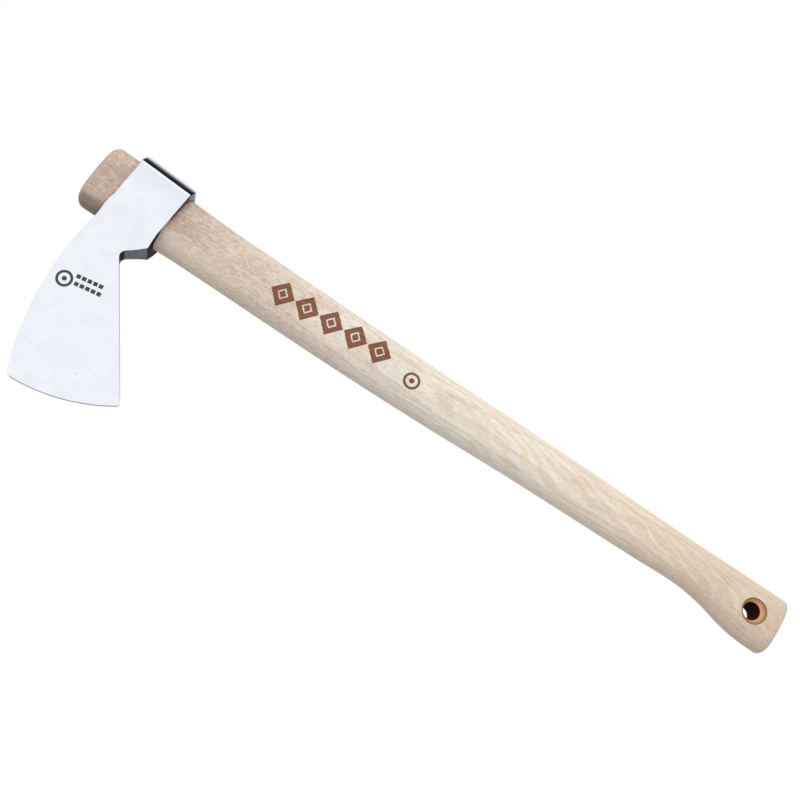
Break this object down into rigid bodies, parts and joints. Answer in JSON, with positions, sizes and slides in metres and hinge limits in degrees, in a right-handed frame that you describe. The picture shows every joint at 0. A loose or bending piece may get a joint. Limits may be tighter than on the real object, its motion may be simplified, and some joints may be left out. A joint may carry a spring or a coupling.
{
  "type": "carving hatchet",
  "caption": "Carving hatchet: a one-piece bearded steel head with a rounded poll, slipped down over a 500 mm wooden haft with a hanging hole in its knob.",
  "frame": {"origin": "middle of the haft's length, on the centre plane of the thickness, level with the lowest point of the cutting edge", "axes": "+X along the haft from the head towards the butt end, +Z away from the cutting edge towards the poll, +Y across the thickness"},
  "size_m": [0.5, 0.0326, 0.1614],
  "materials": {
    "haft_wood": "satin",
    "head_steel": "satin"
  },
  "bodies": {
    "haft": {"haft": "haft_wood"},
    "head": {"head": "head_steel"}
  },
  "joints": [
    {"name": "head_slide", "type": "slide", "parent": "haft", "child": "head", "axis": [1, 0, 0], "range_m": [0, 0.49]}
  ]
}
